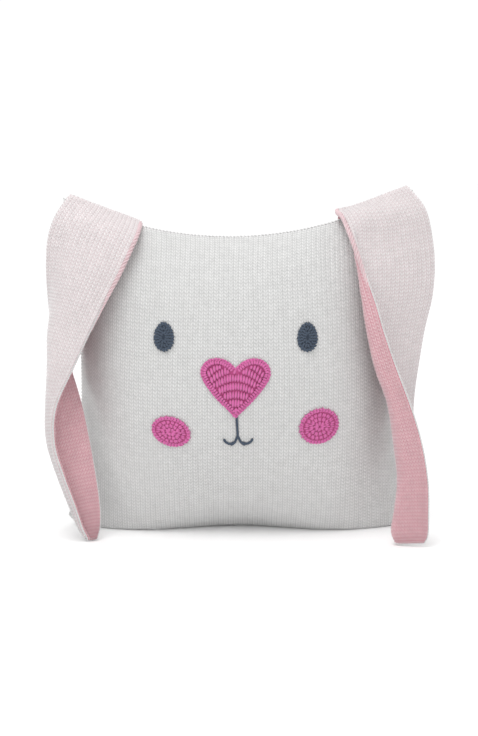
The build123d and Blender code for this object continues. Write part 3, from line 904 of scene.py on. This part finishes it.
def chain(front, outline, spacing, radius, lift, slant=0.5):
    """A row of edging stitches: slanted pairs along an outline."""
    strokes = []
    for x, z, heading in walk(outline, spacing):
        for side in (-1, 1):
            angle = heading + side * slant
            reach = spacing * 0.62
            off = side * radius * 0.75
            cx, cz = x - math.sin(heading) * off, z + math.cos(heading) * off
            a = (cx - math.cos(angle) * reach, cz - math.sin(angle) * reach)
            b = (cx + math.cos(angle) * reach, cz + math.sin(angle) * reach)
            strokes.append((face_place(front, *a, lift), face_place(front, *b, lift), radius))
    return strokes


def oval(x, z, across, up, tilt, count=48):
    """Closed outline of a tilted oval, from its middle and its half sizes."""
    turn = math.radians(tilt)
    angles = np.linspace(0, 2 * math.pi, count, endpoint=False)
    px, pz = across * np.cos(angles), up * np.sin(angles)
    return np.stack([x + px * math.cos(turn) - pz * math.sin(turn),
                     z + px * math.sin(turn) + pz * math.cos(turn)], axis=1)


def rounds(front, x, z, across, up, tilt, levels, lift, spacing, radius):
    """Crochet worked in rounds: posts that run outwards between one ring and the next."""
    strokes = []
    for inner, outer in zip(levels, levels[1:]):
        ring = oval(x, z, across * outer, up * outer, tilt)
        for k, (px, pz, heading) in enumerate(walk(ring, spacing)):
            share = inner / outer
            qx, qz = x + (px - x) * share, z + (pz - z) * share
            sway = 0.16 * spacing * (1 if k % 2 else -1)
            rise = lift * (1.15 - 0.45 * outer)
            a = face_place(front, qx + sway, qz, rise)
            b = face_place(front, px + sway, pz, rise)
            strokes.append((a, b, radius))
    return strokes


CHEEKS = {                  # half sizes across and up, and tilt in degrees
    "left_cheek": (19.3 * MM, 14.2 * MM, -18.0),
    "right_cheek": (19.8 * MM, 17.4 * MM, 25.0),
}
EYES = ("left_eye", "right_eye")
EYE_WIDTH = 18.6 * MM
EYE_HEIGHT = 27.5 * MM
PATCH = 1.5 * MM            # height of the crocheted ground under the stitches


def make_cheek(front, name):
    """A cheek crocheted in rounds, with an edging and tacks."""
    slot = "magenta_crochet"
    across, up, tilt = CHEEKS[name]
    low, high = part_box(name)
    x, z = (low.x + high.x) / 2, (low.z + high.z) / 2
    ground = domed_patch(name + "_ground", front, oval(x, z, across * 0.95, up * 0.95, tilt), slot, PATCH)
    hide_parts(name)
    levels = (0.06, 0.30, 0.54, 0.76)
    strokes = rounds(front, x, z, across, up, tilt, levels, PATCH + 0.4 * MM, 2.5 * MM, 1.05 * MM)
    strokes += chain(front, oval(x, z, across * 0.9, up * 0.9, tilt), 3.0 * MM, 1.0 * MM, PATCH * 0.75)
    stitches(name + "_rounds", strokes, slot, "pillow")
    tack(front, name + "_tacks", oval(x, z, across, up, tilt), "magenta_yarn", name + "_stitches")


def tack(front, name, outline, slot, node, spacing=6.0 * MM):
    """Short stitches over the edge of a sewn-on piece."""
    strokes = []
    for x, z, heading in walk(outline, spacing):
        out = (math.sin(heading), -math.cos(heading))
        reach = 1.0 * MM
        a = face_place(front, x - out[0] * reach, z - out[1] * reach, 0.7 * MM)
        b = face_place(front, x + out[0] * reach, z + out[1] * reach, -0.3 * MM)
        strokes.append((a, b, 0.45 * MM))
    loops = stitches(name, strokes, slot, "pillow", sides=6)
    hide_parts(node)


def egg(x, z, width, height, count=44):
    """Egg outline, narrower at the top."""
    angles = np.linspace(0, 2 * math.pi, count, endpoint=False)
    up = np.sin(angles)
    narrow = 1 - 0.14 * up - 0.05 * up ** 2
    return np.stack([x + width / 2 * np.cos(angles) * narrow, z + height / 2 * up], axis=1)


def make_eye(front, name):
    """A crocheted egg-shaped eye with tacks."""
    low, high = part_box(name)
    x, z = (low.x + high.x) / 2, low.z + EYE_HEIGHT / 2
    ground = domed_patch(name + "_ground", front, egg(x, z, EYE_WIDTH * 0.94, EYE_HEIGHT * 0.95),
                         "slate_crochet", PATCH)
    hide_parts(name)
    strokes = []
    for level, spacing in ((0.34, 2.6), (0.62, 2.7)):
        ring = egg(x, z, EYE_WIDTH * level, EYE_HEIGHT * level)
        strokes += chain(front, ring, spacing * MM, 0.85 * MM, PATCH, slant=0.9)
    strokes += chain(front, egg(x, z, EYE_WIDTH * 0.88, EYE_HEIGHT * 0.91), 2.8 * MM, 0.95 * MM, PATCH * 0.7)
    stitches(name + "_crochet", strokes, "slate_crochet", "pillow")
    tack(front, name + "_tacks", egg(x, z, EYE_WIDTH, EYE_HEIGHT), "slate_yarn", name + "_stitches")


HEART_TIP = (-2.2 * MM, 125.6 * MM)
HEART_HALF = 33.2 * MM
HEART_HEIGHT = 56.4 * MM
HEART_SHAPE = (             # right half from the tip to the notch, as shares of half width and height
    (0.00, 0.00), (0.30, 0.17), (0.60, 0.36), (0.86, 0.56), (0.99, 0.73), (0.95, 0.87),
    (0.76, 0.975), (0.52, 1.00), (0.27, 0.965), (0.08, 0.88), (0.00, 0.835),
)


EDGING = 6.0 * MM           # width of the edging round the heart
ROW_STEP = 8.2 * MM         # height of one crocheted row
POST_STEP = 2.45 * MM       # width of one crocheted stitch
HEART_ROWS = 8
HEART_POSTS = 14            # stitches in a row, each side of its middle one
FIRST_ROW = -6 * MM         # height of the first row over the heart's tip
SHORTEST_POST = 0.25        # share of a stitch inside the edging under which it is left out
ARCH = 20.0                 # how strongly the rows arch, per metre
ARCH_RISE = 8.0 * MM        # how far the middle of a row is lifted


def heart_outline(share=1.0):
    """Closed anticlockwise outline of the heart, drawn in by a share about its middle."""
    right = [np.array([a * HEART_HALF, b * HEART_HEIGHT]) for a, b in HEART_SHAPE]
    left = [np.array([-p[0], p[1]]) for p in right[::-1]][1:-1]
    corners = right + left
    fine = []
    for t in np.arange(0, len(corners) - 1, 0.2):
        fine.append(bend(corners + corners[:1], t))
    outline = np.array(fine)
    middle = np.array([0, 0.6 * HEART_HEIGHT])
    return middle + (outline - middle) * share + np.array(HEART_TIP)


def inside(outline, x, z):
    """Whether a point is inside a closed outline."""
    hit = False
    for (x0, z0), (x1, z1) in zip(outline, np.roll(outline, -1, axis=0)):
        if (z0 > z) != (z1 > z) and x < x0 + (z - z0) * (x1 - x0) / (z1 - z0):
            hit = not hit
    return hit


def clipped(outline, start, end, steps=12):
    """The first and last share of a straight line that lie inside a closed outline."""
    shares = [k / steps for k in range(steps + 1)]
    within = [f for f in shares if inside(outline, start[0] + (end[0] - start[0]) * f,
                                          start[1] + (end[1] - start[1]) * f)]
    return (within[0], within[-1]) if within else (0.0, 0.0)


def arch(x, z):
    """Lifts a straight row into an arch, highest in the middle."""
    off = x - HEART_TIP[0]
    return x, z + ARCH_RISE - ARCH * off * off


def make_nose(front):
    """Crocheted heart: arched rows of tall stitches inside an edging of short ones."""
    outline = heart_outline()
    ground = domed_patch("heart_ground", front, heart_outline(0.95), "magenta_crochet", PATCH)
    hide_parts("nose_heart")
    field = inset_outline(heart_outline(), EDGING * 0.92)
    strokes = []
    tip_x, tip_z = HEART_TIP
    for row in range(HEART_ROWS):
        base = tip_z + FIRST_ROW + row * ROW_STEP
        for k in range(-HEART_POSTS, HEART_POSTS + 1):
            bottom = arch(tip_x + k * POST_STEP, base)
            top = arch(tip_x + k * POST_STEP * 1.08 + POST_STEP * 0.15, base + ROW_STEP * 0.93)
            low, high = clipped(field, bottom, top)
            if high - low > SHORTEST_POST:
                start = (bottom[0] + (top[0] - bottom[0]) * low, bottom[1] + (top[1] - bottom[1]) * low)
                end = (bottom[0] + (top[0] - bottom[0]) * high, bottom[1] + (top[1] - bottom[1]) * high)
                strokes.append((face_place(front, *start, PATCH * 1.15),
                                face_place(front, *end, PATCH * 1.6), 1.35 * MM))
    for x, z, heading in walk(inset_outline(outline, 1.4 * MM), 2.7 * MM):
        inward = (-math.sin(heading), math.cos(heading))
        inner = (x + inward[0] * (EDGING - 2.0 * MM), z + inward[1] * (EDGING - 2.0 * MM))
        a, b = face_place(front, *inner, PATCH * 1.1), face_place(front, x, z, PATCH * 0.9)
        strokes.append((a, b, 1.2 * MM))
    strokes += chain(front, inset_outline(outline, 0.8 * MM), 3.0 * MM, 0.85 * MM, PATCH * 0.4, slant=0.3)
    stitches("heart_rows", strokes, "magenta_crochet", "pillow")
    tack(front, "heart_tacks", outline, "magenta_yarn", "nose_heart_stitches")


# Strands of the mouth, each one or more lines of x and z, in millimetres.
MOUTH = {
    "philtrum_stitch": [[(-1.4, 126), (-0.9, 118), (-0.5, 110), (-0.3, 103.8)]],
    "mouth_left_stitch": [
        [(-0.7, 106.5), (-2.0, 102.6), (-3.8, 99.6), (-7.2, 97.4)],
        [(-13.9, 103.4), (-11.6, 100.4), (-8.0, 98.6), (-3.4, 100.2)],
    ],
    "mouth_right_stitch": [
        [(0.1, 106.5), (1.6, 102.6), (3.6, 99.6), (7.0, 97.4)],
        [(14.3, 104.0), (12.2, 100.8), (8.4, 98.8), (3.4, 100.2)],
    ],
}
MOUTH_YARN = 1.3 * MM       # radius of the embroidery yarn
MOUTH_LIFT = 0.5 * MM       # height of its middle over the knit


def on_face(front, line):
    """A smooth line over the face through a few places, given in millimetres."""
    corners = [np.array(place) * MM for place in line]
    places = np.linspace(0, len(corners) - 1, 8 * len(corners))
    return [face_place(front, *bend(corners, t), MOUTH_LIFT) for t in places]


def make_mouth(front):
    """Three embroidered strands of thick yarn."""
    for name, lines in MOUTH.items():
        paths = [on_face(front, line) for line in lines]
        strand = yarn(name + "_yarn", paths, MOUTH_YARN, "slate_yarn", plies=3, pitch=5 * MM, body="pillow")
        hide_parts(name)


def make_face(front):
    """Nose, cheeks, eyes and mouth, laid on the grid of the face."""
    make_nose(front)
    for name in CHEEKS:
        make_cheek(front, name)
    for name in EYES:
        make_eye(front, name)
    make_mouth(front)


# ---------------------------------------------------------------- everything
make_camera()
make_lights()
make_floor()
MATERIALS = make_materials()
front_grid = make_cushion()
for ear_name in EARS:
    make_ear(ear_name)
make_face(front_grid)
